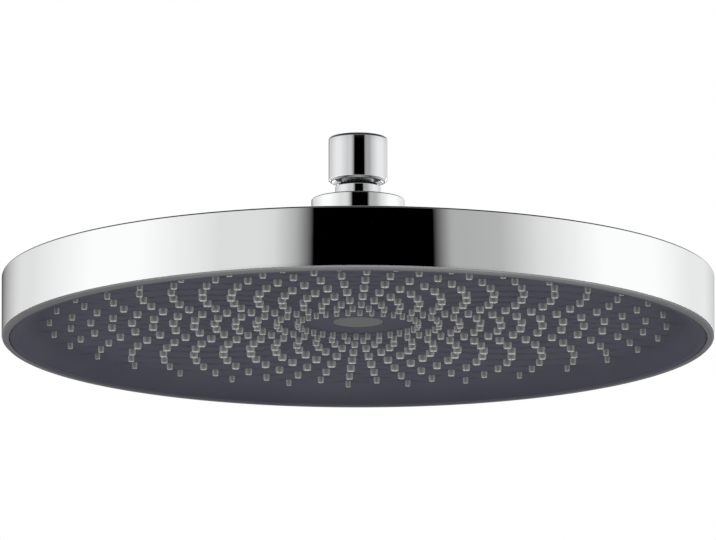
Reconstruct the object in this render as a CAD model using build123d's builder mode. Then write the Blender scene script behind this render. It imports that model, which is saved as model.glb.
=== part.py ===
from build123d import *
import os
from math import floor, pi, sin, sqrt

# Rain shower head: a chrome drum with a dished spray face, hung on a ball joint under a swivel nut.
# Millimetres. The origin is the centre of the inlet thread's mouth, +Z points up, and the spray faces down.

# Fits
slip_fit = 0.08
ball_play = 0.1
thread_clearance = 0.05
seam = 0.15

# Swivel nut, with the wall of its G1/2 inlet at the thread's major radius
thread_radius = 10.4775
thread_depth = 7.9
nut_wall = 1.92
nut_edge_round = 1.3
nut_foot_chamfer = 0.8
seat_step = 0.28
lip_width = 0.45
lip_thickness = 1.4
lip_countersink = 1.2

# Inlet washer and strainer screen
washer_thickness = 2.0
washer_relief = 0.3
screen_thickness = 0.5
screen_radius = 8.4
screen_hole = 1.5
screen_pitch = 2.2
screen_rows = 5

# Ball joint
ball_radius = 7.5
seat_opening_radius = 5.2
seat_split = 0.4
ring_rise = 0.6
ring_depth = 2.36
neck_radius = 5.2
collar_radius = 9.6
collar_height = 6.2
collar_chamfer = 1.3
collar_gap = 0.9
gasket_thickness = 0.5
gasket_setback = 0.3
shank_radius = 8.0
stud_bore_radius = 3.75

# Flow regulator in the ball's mouth
regulator_radius = 4.7
regulator_thickness = 3.0
regulator_floor = 0.8
regulator_port_radius = 0.7
regulator_port_circle = 2.4
regulator_ports = 4
elastic_ring_thickness = 1.2
elastic_ring_width = 1.2

# Back shell: hub, domed back and tall band
band_radius = 150.0
band_height = 25.3
band_edge_round = 0.8
dome_rise = 14.6
hub_radius = 19.65
hub_height = 18.45
hub_top_wall = 4.0
hub_side_wall = 3.0
hub_foot_round = 4.0
shell_wall = 3.0
rebate_width = 1.0
rebate_height = 2.5

# Trim ring and the rim of the spray face
trim_width = 3.0
trim_drop = 1.55
trim_edge_chamfer = 0.85
tongue_overlap = 1.45
land_width = 2.4
land_lift = 0.4
land_thickness = 1.6
cove_run = 11.5

# Spray face and its nozzle field: staggered rings, with the widest nozzles half-way out
face_recess = 7.6
face_thickness = 2.4
inner_ring_radius = 25.6
ring_pitch = 8.69
ring_margin = 2.0
nozzles_per_ring = 32
first_nozzle_angle = 1.86
nozzle_radius_small = 1.1
nozzle_radius_large = 1.8
nozzle_length = 2.5
nozzle_root = 1.0
nozzle_sides = 6

# Centre cap and screw
cap_radius = 10.5
cap_thickness = 1.8
cap_proud = 0.2
cap_edge_chamfer = 0.4
screw_head_radius = 4.5
screw_head_height = 2.2
screw_head_room = 0.5
screw_radius = 2.0
screw_length = 14.0
screw_washer_thickness = 0.8
pocket_roof = 2.4
pocket_wall = 1.9

# Water chamber with its inlet tube, and the nozzle mat
mat_thickness = 1.6
chamber_depth = 5.0
cover_thickness = 2.4
flange_inset = 3.2
flange_width = 5.1
flange_thickness = 3.0
tube_wall = 3.5
tube_bore_radius = 7.0
insert_wall = 3.0
insert_length = 10.0
seal_thickness = 2.0
post_radius = 4.2
web_thickness = 1.6
web_height = 12.0
web_count = 3
rib_count = 8
rib_thickness = 1.8
rib_reach = 26.0
rib_height = 14.0

# Screws round the chamber's flange
clamp_screw_count = 8
clamp_screw_radius = 1.5
clamp_head_radius = 2.4
clamp_head_sides = 6
clamp_head_height = 1.8
clamp_bite = 2.6

# Heights of the ball joint, from the thread's mouth down
washer_bottom_z = -thread_depth - washer_thickness
socket_radius = ball_radius + ball_play
ball_z = washer_bottom_z - sqrt(socket_radius**2 - seat_opening_radius**2)
ring_top_z = ball_z + ring_rise
seat_bottom_z = ring_top_z + seat_split
lip_top_z = ball_z - ring_depth
nut_bottom_z = lip_top_z - lip_thickness
collar_top_z = nut_bottom_z - collar_gap
collar_bottom_z = collar_top_z - collar_height
hub_top_z = collar_bottom_z - gasket_thickness
regulator_floor_z = ball_z + regulator_floor
regulator_top_z = regulator_floor_z + regulator_thickness

# Heights of the drum
dome_crown_z = hub_top_z - hub_height
band_top_z = dome_crown_z - dome_rise
band_bottom_z = band_top_z - band_height
rebate_z = band_bottom_z + rebate_height
trim_bottom_z = band_bottom_z - trim_drop
land_z = trim_bottom_z + land_lift
land_top_z = land_z + land_thickness
face_z = trim_bottom_z + face_recess
face_back_z = face_z + face_thickness
mat_top_z = face_back_z + mat_thickness
flange_top_z = mat_top_z + flange_thickness
roof_z = mat_top_z + chamber_depth
roof_top_z = roof_z + cover_thickness
tube_top_z = hub_top_z - hub_top_wall
insert_bottom_z = tube_top_z - insert_length
tube_floor_z = insert_bottom_z - seal_thickness

# Heights at the centre of the spray face
cap_bottom_z = face_z - cap_proud
cap_seat_z = cap_bottom_z + cap_thickness
screw_head_top_z = cap_seat_z + screw_head_height
pocket_top_z = screw_head_top_z + screw_washer_thickness
pillar_top_z = pocket_top_z + pocket_roof
screw_tip_z = screw_head_top_z + screw_length

# Radii that follow
nut_radius = thread_radius + nut_wall
seat_bore_radius = thread_radius - seat_step
lip_radius = seat_bore_radius - lip_width
dome_radius = (band_radius**2 + dome_rise**2) / (2 * dome_rise)
dome_centre_z = dome_crown_z - dome_radius
shell_inner_radius = band_radius - shell_wall
rebate_radius = shell_inner_radius + rebate_width
hub_inner_radius = hub_radius - hub_side_wall
trim_radius = band_radius - seam
trim_inner_radius = band_radius - trim_width
face_radius = trim_inner_radius - seam
tongue_inner_radius = face_radius - tongue_overlap
tongue_outer_radius = rebate_radius - seam
rim_wall_radius = tongue_inner_radius - seam
land_inner_radius = face_radius - land_width
cove_start_radius = land_inner_radius - cove_run
flange_radius = rim_wall_radius - flange_inset
chamber_wall_radius = flange_radius - flange_width
chamber_radius = chamber_wall_radius - cover_thickness
clamp_circle_radius = (chamber_wall_radius + flange_radius) / 2
clamp_hole_radius = clamp_screw_radius + thread_clearance
insert_radius = shank_radius + insert_wall
tube_pocket_radius = insert_radius + thread_clearance
tube_radius = tube_pocket_radius + tube_wall
regulator_bore_radius = regulator_radius + slip_fit
cap_recess_radius = cap_radius + seam
screw_hole_radius = screw_radius + thread_clearance
pocket_radius = screw_head_radius + screw_head_room
pillar_radius = cap_recess_radius + pocket_wall
ring_count = floor((cove_start_radius - ring_margin - inner_ring_radius) / ring_pitch) + 1


def dome_z(radius, depth=0.0):
    """Height of the domed back at a radius, on its outer skin or at a depth inside it."""
    return dome_centre_z + sqrt((dome_radius - depth) ** 2 - radius**2)


def nozzle_radius(ring):
    """Radius of the nozzles in one ring: small at both ends of the field, largest half-way."""
    swell = sin(pi * ring / max(ring_count - 1, 1))
    return nozzle_radius_small + (nozzle_radius_large - nozzle_radius_small) * swell


os.makedirs("parts", exist_ok=True)

# Swivel nut
with BuildPart() as swivel_nut:
    with BuildSketch(Plane.XZ) as nut_section:
        with BuildLine():
            Polyline(
                (thread_radius, 0),
                (nut_radius, 0),
                (nut_radius, nut_bottom_z),
                (lip_radius + lip_countersink, nut_bottom_z),
                (lip_radius, nut_bottom_z + lip_countersink),
                (lip_radius, lip_top_z),
                (seat_bore_radius, lip_top_z),
                (seat_bore_radius, -thread_depth),
                (thread_radius, -thread_depth),
                close=True,
            )
        make_face()
        nut_corners = nut_section.vertices().group_by(Axis.X)[-1].sort_by(Axis.Y)
        fillet(nut_corners[-1], radius=nut_edge_round)
        chamfer(nut_corners[0], length=nut_foot_chamfer)
    revolve(axis=Axis.Z)
swivel_nut.part.label = "swivel_nut"
export_step(swivel_nut.part, "parts/swivel_nut.step")

# Inlet washer, with a shallow seat for the screen
with BuildPart() as inlet_washer:
    with BuildSketch(Plane.XY.offset(washer_bottom_z)):
        Circle(seat_bore_radius - slip_fit)
        Circle(seat_opening_radius + washer_relief, mode=Mode.SUBTRACT)
    extrude(amount=washer_thickness)
    with BuildSketch(Plane.XY.offset(-thread_depth)):
        Circle(screen_radius + slip_fit)
    extrude(amount=-screen_thickness, mode=Mode.SUBTRACT)
inlet_washer.part.label = "inlet_washer"
export_step(inlet_washer.part, "parts/inlet_washer.step")

# Strainer screen, a perforated disc
with BuildPart() as strainer_screen:
    with BuildSketch(Plane.XY.offset(-thread_depth)):
        Circle(screen_radius)
        with GridLocations(screen_pitch, screen_pitch, screen_rows, screen_rows):
            Rectangle(screen_hole, screen_hole, mode=Mode.SUBTRACT)
    extrude(amount=-screen_thickness)
strainer_screen.part.label = "strainer_screen"
export_step(strainer_screen.part, "parts/strainer_screen.step")

# Upper ball seat, between the washer and the ball
with BuildPart() as upper_ball_seat:
    with BuildSketch(Plane.XY.offset(seat_bottom_z)):
        Circle(seat_bore_radius - slip_fit)
    extrude(amount=washer_bottom_z - seat_bottom_z)
    with Locations((0, 0, ball_z)):
        Sphere(socket_radius, mode=Mode.SUBTRACT)
upper_ball_seat.part.label = "upper_ball_seat"
export_step(upper_ball_seat.part, "parts/upper_ball_seat.step")

# Ball retaining ring, which rests on the nut's lip and holds the ball below its widest part
with BuildPart() as ball_retaining_ring:
    with BuildSketch(Plane.XY.offset(lip_top_z)):
        Circle(seat_bore_radius - slip_fit)
    extrude(amount=ring_top_z - lip_top_z)
    with Locations((0, 0, ball_z)):
        Sphere(socket_radius, mode=Mode.SUBTRACT)
ball_retaining_ring.part.label = "ball_retaining_ring"
export_step(ball_retaining_ring.part, "parts/ball_retaining_ring.step")

# Ball stud: ball, neck, round collar and threaded shank, bored through
with BuildPart() as ball_stud:
    with Locations((0, 0, ball_z)):
        Sphere(ball_radius)
    with BuildSketch(Plane.XY.offset(collar_top_z)):
        Circle(neck_radius)
    extrude(amount=ball_z - collar_top_z)
    with BuildSketch(Plane.XY.offset(collar_bottom_z)):
        Circle(collar_radius)
    extrude(amount=collar_height)
    collar_rims = ball_stud.edges().filter_by(GeomType.CIRCLE).group_by(SortBy.RADIUS)[-1]
    chamfer(collar_rims.sort_by(Axis.Z)[-1], length=collar_chamfer)
    with BuildSketch(Plane.XY.offset(collar_bottom_z)):
        Circle(shank_radius)
    extrude(amount=insert_bottom_z - collar_bottom_z)
    with BuildSketch(Plane.XY.offset(insert_bottom_z)):
        Circle(stud_bore_radius)
    extrude(amount=ball_z + ball_radius - insert_bottom_z, mode=Mode.SUBTRACT)
    with BuildSketch(Plane.XY.offset(regulator_floor_z)):
        Circle(regulator_bore_radius)
    extrude(amount=ball_radius, mode=Mode.SUBTRACT)
ball_stud.part.label = "ball_stud"
export_step(ball_stud.part, "parts/ball_stud.step")

# Flow regulator and the elastic ring that lies on it
with BuildPart() as flow_regulator:
    with BuildSketch(Plane.XY.offset(regulator_floor_z)):
        Circle(regulator_radius)
        with PolarLocations(regulator_port_circle, regulator_ports):
            Circle(regulator_port_radius, mode=Mode.SUBTRACT)
    extrude(amount=regulator_thickness)
flow_regulator.part.label = "flow_regulator"
export_step(flow_regulator.part, "parts/flow_regulator.step")

with BuildPart() as regulator_ring:
    with BuildSketch(Plane.XY.offset(regulator_top_z)):
        Circle(regulator_radius)
        Circle(regulator_radius - elastic_ring_width, mode=Mode.SUBTRACT)
    extrude(amount=elastic_ring_thickness)
regulator_ring.part.label = "regulator_ring"
export_step(regulator_ring.part, "parts/regulator_ring.step")

# Collar gasket, between the stud's collar and the hub
with BuildPart() as collar_gasket:
    with BuildSketch(Plane.XY.offset(hub_top_z)):
        Circle(collar_radius - gasket_setback)
        Circle(shank_radius + slip_fit, mode=Mode.SUBTRACT)
    extrude(amount=gasket_thickness)
collar_gasket.part.label = "collar_gasket"
export_step(collar_gasket.part, "parts/collar_gasket.step")

# Back shell: hub, domed back and band in one moulding, with a rebate for the trim ring
with BuildPart() as back_shell:
    with BuildSketch(Plane.XZ) as shell_section:
        with BuildLine():
            hub_foot = (hub_radius, dome_z(hub_radius))
            band_top = (band_radius, band_top_z)
            inner_top = (shell_inner_radius, dome_z(shell_inner_radius, shell_wall))
            hub_root = (hub_inner_radius, dome_z(hub_inner_radius, shell_wall))
            dome_middle = (hub_radius + band_radius) / 2
            inner_middle = (hub_inner_radius + shell_inner_radius) / 2
            Polyline((shank_radius + slip_fit, hub_top_z), (hub_radius, hub_top_z), hub_foot)
            ThreePointArc(hub_foot, (dome_middle, dome_z(dome_middle)), band_top)
            Polyline(
                band_top,
                (band_radius, band_bottom_z),
                (rebate_radius, band_bottom_z),
                (rebate_radius, rebate_z),
                (shell_inner_radius, rebate_z),
                inner_top,
            )
            ThreePointArc(inner_top, (inner_middle, dome_z(inner_middle, shell_wall)), hub_root)
            Polyline(
                hub_root,
                (hub_inner_radius, tube_top_z),
                (shank_radius + slip_fit, tube_top_z),
                (shank_radius + slip_fit, hub_top_z),
            )
        make_face()
        fillet(shell_section.vertices().sort_by_distance(hub_foot)[0], radius=hub_foot_round)
        fillet(shell_section.vertices().sort_by_distance(band_top)[0], radius=band_edge_round)
    revolve(axis=Axis.Z)
back_shell.part.label = "back_shell"
export_step(back_shell.part, "parts/back_shell.step")

# Threaded insert in the top of the inlet tube, and the seal under it and the stud
with BuildPart() as threaded_insert:
    with BuildSketch(Plane.XY.offset(insert_bottom_z)):
        Circle(insert_radius)
        Circle(shank_radius + thread_clearance, mode=Mode.SUBTRACT)
    extrude(amount=insert_length)
threaded_insert.part.label = "threaded_insert"
export_step(threaded_insert.part, "parts/threaded_insert.step")

with BuildPart() as stud_seal:
    with BuildSketch(Plane.XY.offset(tube_floor_z)):
        Circle(insert_radius)
        Circle(stud_bore_radius, mode=Mode.SUBTRACT)
    extrude(amount=seal_thickness)
stud_seal.part.label = "stud_seal"
export_step(stud_seal.part, "parts/stud_seal.step")

# Water chamber: flat cover with its flange, ribbed inlet tube, and a centre post held by webs
with BuildPart() as water_chamber:
    with BuildSketch(Plane.XZ):
        with BuildLine():
            Polyline(
                (tube_pocket_radius, tube_top_z),
                (tube_radius, tube_top_z),
                (tube_radius, roof_top_z),
                (chamber_wall_radius, roof_top_z),
                (chamber_wall_radius, flange_top_z),
                (flange_radius, flange_top_z),
                (flange_radius, mat_top_z),
                (chamber_radius, mat_top_z),
                (chamber_radius, roof_z),
                (tube_bore_radius, roof_z),
                (tube_bore_radius, tube_floor_z),
                (tube_pocket_radius, tube_floor_z),
                close=True,
            )
        make_face()
    revolve(axis=Axis.Z)
    with BuildSketch(Plane.XY.offset(roof_z)):
        with PolarLocations(0, web_count):
            Rectangle(tube_pocket_radius, web_thickness, align=(Align.MIN, Align.CENTER))
        Circle(post_radius)
    extrude(amount=web_height)
    with BuildSketch(Plane.XY.offset(pillar_top_z)):
        Circle(post_radius)
    extrude(amount=roof_z - pillar_top_z)
    with BuildSketch(Plane.XZ) as rib_section:
        with BuildLine():
            Polyline(
                (tube_radius - rib_thickness, roof_top_z),
                (tube_radius + rib_reach, roof_top_z),
                (tube_radius - rib_thickness, roof_top_z + rib_height),
                close=True,
            )
        make_face()
    rib = extrude(rib_section.sketch, amount=rib_thickness / 2, both=True, mode=Mode.PRIVATE)
    with PolarLocations(0, rib_count):
        add(rib)
    with BuildSketch(Plane.XY.offset(pillar_top_z)):
        Circle(screw_hole_radius)
    extrude(amount=screw_tip_z - pillar_top_z, mode=Mode.SUBTRACT)
    with BuildSketch(Plane.XY.offset(mat_top_z)):
        with PolarLocations(clamp_circle_radius, clamp_screw_count):
            Circle(clamp_hole_radius)
    extrude(amount=flange_thickness, mode=Mode.SUBTRACT)
water_chamber.part.label = "water_chamber"
export_step(water_chamber.part, "parts/water_chamber.step")

# Nozzle mat, the silicone sheet that the nozzles belong to, clamped between the chamber and the face
with BuildPart() as nozzle_mat:
    with BuildSketch(Plane.XY.offset(face_back_z)):
        Circle(flange_radius)
        Circle(pillar_radius + seam, mode=Mode.SUBTRACT)
        with PolarLocations(clamp_circle_radius, clamp_screw_count):
            Circle(clamp_hole_radius, mode=Mode.SUBTRACT)
    extrude(amount=mat_thickness)
nozzle_mat.part.label = "nozzle_mat"
export_step(nozzle_mat.part, "parts/nozzle_mat.step")

# Spray face: dished plate with a stepped rim, a pocket for the cap and screw, and the field of nozzles
with BuildPart() as spray_face:
    with BuildSketch(Plane.XZ):
        with BuildLine():
            cove_start = (cove_start_radius, face_z)
            cove_end = (land_inner_radius, land_z)
            Polyline(
                (screw_hole_radius, pocket_top_z),
                (pocket_radius, pocket_top_z),
                (pocket_radius, cap_seat_z),
                (cap_recess_radius, cap_seat_z),
                (cap_recess_radius, face_z),
                cove_start,
            )
            TangentArc(cove_start, cove_end, tangent=(1, 0))
            Polyline(
                cove_end,
                (face_radius, land_z),
                (face_radius, land_top_z),
                (rim_wall_radius, land_top_z),
                (rim_wall_radius, face_back_z),
                (pillar_radius, face_back_z),
                (pillar_radius, pillar_top_z),
                (screw_hole_radius, pillar_top_z),
                (screw_hole_radius, pocket_top_z),
            )
        make_face()
    revolve(axis=Axis.Z)
    with BuildSketch(Plane.XY.offset(face_back_z)):
        with PolarLocations(clamp_circle_radius, clamp_screw_count):
            Circle(clamp_hole_radius)
    extrude(amount=-clamp_bite, mode=Mode.SUBTRACT)
    with BuildSketch(Plane.XY.offset(face_z + nozzle_root)):
        for ring in range(ring_count):
            stagger = (ring % 2) * 180 / nozzles_per_ring
            ring_radius = inner_ring_radius + ring * ring_pitch
            with PolarLocations(ring_radius, nozzles_per_ring, first_nozzle_angle + stagger):
                RegularPolygon(nozzle_radius(ring), nozzle_sides)
    extrude(amount=-nozzle_root - nozzle_length)
spray_face.part.label = "spray_face"
export_step(spray_face.part, "parts/spray_face.step")

# Screws that clamp the chamber, the mat and the face together
with BuildPart() as chamber_screws:
    with BuildSketch(Plane.XY.offset(flange_top_z)):
        with PolarLocations(clamp_circle_radius, clamp_screw_count):
            RegularPolygon(clamp_head_radius, clamp_head_sides)
    extrude(amount=clamp_head_height)
    with BuildSketch(Plane.XY.offset(flange_top_z)):
        with PolarLocations(clamp_circle_radius, clamp_screw_count):
            Circle(clamp_screw_radius)
    extrude(amount=-flange_thickness - mat_thickness - clamp_bite)
chamber_screws.part.label = "chamber_screws"
export_step(chamber_screws.part, "parts/chamber_screws.step")

# Trim ring: a chamfered lip under the band, with a tongue between the shell and the face
with BuildPart() as trim_ring:
    with BuildSketch(Plane.XZ) as trim_section:
        with BuildLine():
            Polyline(
                (tongue_inner_radius, rebate_z),
                (tongue_outer_radius, rebate_z),
                (tongue_outer_radius, band_bottom_z),
                (trim_radius, band_bottom_z),
                (trim_radius, trim_bottom_z),
                (trim_inner_radius, trim_bottom_z),
                (trim_inner_radius, land_top_z),
                (tongue_inner_radius, land_top_z),
                close=True,
            )
        make_face()
        trim_corners = trim_section.vertices().group_by(Axis.X)[-1].sort_by(Axis.Y)
        chamfer(trim_corners[0], length=trim_edge_chamfer)
    revolve(axis=Axis.Z)
trim_ring.part.label = "trim_ring"
export_step(trim_ring.part, "parts/trim_ring.step")

# Centre screw, its sealing washer, and the cap that hides them
with BuildPart() as centre_screw:
    with BuildSketch(Plane.XY.offset(cap_seat_z)):
        Circle(screw_head_radius)
    extrude(amount=screw_head_height)
    with BuildSketch(Plane.XY.offset(screw_head_top_z)):
        Circle(screw_radius)
    extrude(amount=screw_length)
centre_screw.part.label = "centre_screw"
export_step(centre_screw.part, "parts/centre_screw.step")

with BuildPart() as centre_screw_washer:
    with BuildSketch(Plane.XY.offset(screw_head_top_z)):
        Circle(screw_head_radius)
        Circle(screw_hole_radius, mode=Mode.SUBTRACT)
    extrude(amount=screw_washer_thickness)
centre_screw_washer.part.label = "centre_screw_washer"
export_step(centre_screw_washer.part, "parts/centre_screw_washer.step")

with BuildPart() as centre_cap:
    with BuildSketch(Plane.XY.offset(cap_bottom_z)):
        Circle(cap_radius)
    extrude(amount=cap_thickness)
    chamfer(centre_cap.faces().sort_by(Axis.Z)[0].edges(), length=cap_edge_chamfer)
centre_cap.part.label = "centre_cap"
export_step(centre_cap.part, "parts/centre_cap.step")
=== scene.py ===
"""Rain shower head: the finished look of the drum, its dished spray face and the ball joint above it.

Sizes are millimetres, turned into metres where a mesh is made. The solids' boxes give the main
heights and radii, and the fields of each class give what a box can't.
"""
import logging
import math
from dataclasses import dataclass
from enum import Enum

import bpy
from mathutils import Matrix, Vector


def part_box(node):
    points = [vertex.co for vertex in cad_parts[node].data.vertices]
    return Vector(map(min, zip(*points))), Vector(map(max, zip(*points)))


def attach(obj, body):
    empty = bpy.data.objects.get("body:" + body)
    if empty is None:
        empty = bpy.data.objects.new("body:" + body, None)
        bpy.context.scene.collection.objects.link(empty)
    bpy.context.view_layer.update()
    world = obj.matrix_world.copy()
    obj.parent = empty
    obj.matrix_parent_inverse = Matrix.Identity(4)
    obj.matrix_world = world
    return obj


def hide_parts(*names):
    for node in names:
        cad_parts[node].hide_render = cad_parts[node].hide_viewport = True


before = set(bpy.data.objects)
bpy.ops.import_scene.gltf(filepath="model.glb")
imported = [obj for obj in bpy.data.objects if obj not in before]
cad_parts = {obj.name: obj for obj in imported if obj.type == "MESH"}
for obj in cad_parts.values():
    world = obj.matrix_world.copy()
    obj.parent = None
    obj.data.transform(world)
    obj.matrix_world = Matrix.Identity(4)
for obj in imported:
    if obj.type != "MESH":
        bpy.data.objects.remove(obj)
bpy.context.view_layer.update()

MM = 0.001
IMAGE_WIDTH_PX = 716

log = logging.getLogger("shower_head")

Colour = tuple[float, float, float]
Point = tuple[float, float]
Socket = bpy.types.NodeSocket


class Body(Enum):
    """The bodies that pieces ride on."""

    INLET = "inlet"
    HEAD = "head"


class Ray(Enum):
    """The kinds of ray that see the white surround."""

    CAMERA = "Is Camera Ray"
    GLOSSY = "Is Glossy Ray"
    TRANSMISSION = "Is Transmission Ray"


@dataclass(frozen=True)
class Corner:
    """A corner of a turned section, in millimetres, with the radius that rounds it."""

    r: float
    z: float
    round: float = 0.0


@dataclass(frozen=True)
class Tone:
    """A grey level of the surround, or a gain on it, at one angle in degrees."""

    angle: float
    level: float


def tones(*pairs: tuple[float, float]) -> tuple[Tone, ...]:
    """Makes tones from pairs of an angle and a level."""
    return tuple(Tone(angle, level) for angle, level in pairs)


def arc(centre: Point, radius: float, start: float, end: float, steps: int) -> list[Corner]:
    """Points along a circular stretch of a section.

    Args:
        centre: centre of the circle as (r, z).
        radius: its radius.
        start: first angle in radians, from +r towards +z.
        end: last angle.
        steps: number of straight steps.

    Returns:
        steps + 1 corners that need no rounding.
    """
    angles = [start + (end - start) * i / steps for i in range(steps + 1)]
    return [Corner(centre[0] + radius * math.cos(a), centre[1] + radius * math.sin(a)) for a in angles]


def rounded_section(corners: list[Corner], steps: int = 6) -> list[Point]:
    """Replaces each rounded corner of a closed section by an arc.

    Args:
        corners: the section's corners in order.
        steps: straight steps in each rounding.

    Returns:
        The section's points as (r, z).
    """
    points: list[Point] = []
    for index, corner in enumerate(corners):
        here = Vector((corner.r, corner.z))
        if corner.round <= 0.0:
            points.append((corner.r, corner.z))
            continue
        before = corners[index - 1]
        after = corners[(index + 1) % len(corners)]
        back = (Vector((before.r, before.z)) - here).normalized()
        ahead = (Vector((after.r, after.z)) - here).normalized()
        half = back.angle(ahead) / 2
        reach = corner.round / math.tan(half)
        middle = here + (back + ahead).normalized() * (corner.round / math.sin(half))
        first = here + back * reach - middle
        turn = first.angle_signed(here + ahead * reach - middle)
        for step in range(steps + 1):
            angle = -turn * step / steps
            points.append((
                middle.x + first.x * math.cos(angle) - first.y * math.sin(angle),
                middle.y + first.x * math.sin(angle) + first.y * math.cos(angle),
            ))
    return points


def mesh_object(name: str, vertices: list, faces: list, sharp_angle: float = 32.0) -> bpy.types.Object:
    """Makes a smooth-shaded mesh object in metres.

    Args:
        name: the piece's name.
        vertices: points in millimetres.
        faces: lists of vertex indices.
        sharp_angle: edges that turn more than this, in degrees, stay sharp.

    Returns:
        The linked object.
    """
    mesh = bpy.data.meshes.new(name)
    mesh.from_pydata([(x * MM, y * MM, z * MM) for x, y, z in vertices], [], faces)
    mesh.shade_smooth()
    mesh.set_sharp_from_angle(angle=math.radians(sharp_angle))
    piece = bpy.data.objects.new(name, mesh)
    bpy.context.scene.collection.objects.link(piece)
    return piece


def turned_mesh(section: list[Point], segments: int) -> tuple[list, list]:
    """Turns a closed section about the Z axis. A point on the axis becomes one vertex.

    Args:
        section: the section's points as (r, z).
        segments: steps round the axis.

    Returns:
        Vertices in millimetres and faces.
    """
    vertices: list[tuple[float, float, float]] = []
    rows: list[list[int]] = []
    for r, z in section:
        if r < 1e-6:
            rows.append([len(vertices)] * segments)
            vertices.append((0.0, 0.0, z))
            continue
        rows.append(list(range(len(vertices), len(vertices) + segments)))
        for step in range(segments):
            angle = 2 * math.pi * step / segments
            vertices.append((r * math.cos(angle), r * math.sin(angle), z))
    faces = []
    for index, row in enumerate(rows):
        below = rows[(index + 1) % len(rows)]
        for step in range(segments):
            ahead = (step + 1) % segments
            ring = (row[step], below[step], below[ahead], row[ahead])
            face = [v for place, v in enumerate(ring) if v != ring[place - 1]]
            if len(face) > 2:
                faces.append(face)
    return vertices, faces


def swept_faces(rows: int, sides: int) -> list[list[int]]:
    """Faces of a form swept through rows of as many points as it has sides, with both ends closed."""
    faces = []
    for row in range(rows - 1):
        low = row * sides
        for side in range(sides):
            ahead = (side + 1) % sides
            faces.append([low + side, low + ahead, low + sides + ahead, low + sides + side])
    faces.append(list(range(sides))[::-1])
    faces.append([(rows - 1) * sides + side for side in range(sides)])
    return faces


def tube_mesh(path: list[Vector], across: Vector, radius: float, sides: int) -> tuple[list, list]:
    """A round wire along a path that stays in one plane.

    Args:
        path: the wire's middle line.
        across: unit vector square to the path's plane.
        radius: the wire's radius.
        sides: flats round the wire.

    Returns:
        Vertices and faces, with both ends closed.
    """
    vertices = []
    for index, point in enumerate(path):
        ahead = path[min(index + 1, len(path) - 1)] - path[max(index - 1, 0)]
        up = ahead.normalized().cross(across)
        for side in range(sides):
            angle = 2 * math.pi * side / sides
            vertices.append(tuple(point + (across * math.cos(angle) + up * math.sin(angle)) * radius))
    return vertices, swept_faces(len(path), sides)


def join_meshes(parts: list[tuple[list, list]]) -> tuple[list, list]:
    """Puts several (vertices, faces) pairs into one."""
    vertices, faces = [], []
    for some_vertices, some_faces in parts:
        start = len(vertices)
        vertices.extend(some_vertices)
        faces.extend([[v + start for v in face] for face in some_faces])
    return vertices, faces


class NodeTree:
    """Short calls for adding and joining the nodes of a material, a world or a group."""

    NOISE_LOW = 0.3
    NOISE_HIGH = 0.7

    def __init__(self, tree: bpy.types.NodeTree) -> None:
        """Wraps a node tree."""
        self.tree = tree

    def add(self, kind: str, inputs: dict | None = None, **settings: object) -> bpy.types.Node:
        """Adds a node.

        Args:
            kind: Blender's name for the node's type.
            inputs: socket name or number to a value or to an output socket.
            settings: the node's own properties.

        Returns:
            The node.
        """
        node = self.tree.nodes.new(kind)
        for name, value in settings.items():
            setattr(node, name, value)
        self.feed(node, inputs or {})
        return node

    def feed(self, node: bpy.types.Node, inputs: dict) -> None:
        """Gives a node's sockets, by name or number, their values or links."""
        for name, value in inputs.items():
            if isinstance(value, Socket):
                self.tree.links.new(value, node.inputs[name])
            else:
                node.inputs[name].default_value = value

    def calc(self, operation: str, first: object, second: object) -> Socket:
        """Adds a math node for two values or sockets and returns its result."""
        return self.add("ShaderNodeMath", {0: first, 1: second}, operation=operation).outputs[0]

    def share(self, value: object, start: object, end: object, **settings: object) -> Socket:
        """Returns how far a value has come from start, as 0, to end, as 1."""
        inputs = {"Value": value, "From Min": start, "From Max": end}
        return self.add("ShaderNodeMapRange", inputs, **settings).outputs["Result"]

    def noise(self, place: Socket, scale: object, detail: float = 4.0) -> Socket:
        """Adds a noise texture and returns its value."""
        node = self.add("ShaderNodeTexNoise", {"Vector": place, "Scale": scale, "Detail": detail})
        return node.outputs["Fac"]

    def bump(self, height: Socket, strength: float, distance: float) -> Socket:
        """Returns a normal bent by a height, as far as the strength and the distance say."""
        inputs = {"Height": height, "Strength": strength, "Distance": distance}
        return self.add("ShaderNodeBump", inputs).outputs["Normal"]

    def spread(self, value: Socket, low: object, high: object) -> Socket:
        """Maps the stretch that a noise mostly fills to the range from low to high."""
        source = {"Value": value, "From Min": self.NOISE_LOW, "From Max": self.NOISE_HIGH}
        return self.add("ShaderNodeMapRange", {**source, "To Min": low, "To Max": high}).outputs["Result"]

    def mix(self, factor: Socket, first: object, second: object) -> Socket:
        """Mixes two colours.

        Args:
            factor: how much of the second colour shows.
            first: a colour or an output socket.
            second: the other colour.

        Returns:
            The mixed colour.
        """
        node = self.add("ShaderNodeMix", {"Factor": factor}, data_type="RGBA")
        sockets = [socket for socket in node.inputs if socket.type == "RGBA"]
        for socket, colour in zip(sockets, (first, second)):
            if isinstance(colour, Socket):
                self.tree.links.new(colour, socket)
            else:
                socket.default_value = (*colour, 1.0)
        return next(socket for socket in node.outputs if socket.type == "RGBA")


def cleared_tree(block: bpy.types.Material | bpy.types.World) -> NodeTree:
    """Clears the nodes of a new material or world and returns its tree."""
    block.use_nodes = True
    block.node_tree.nodes.clear()
    return NodeTree(block.node_tree)


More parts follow.
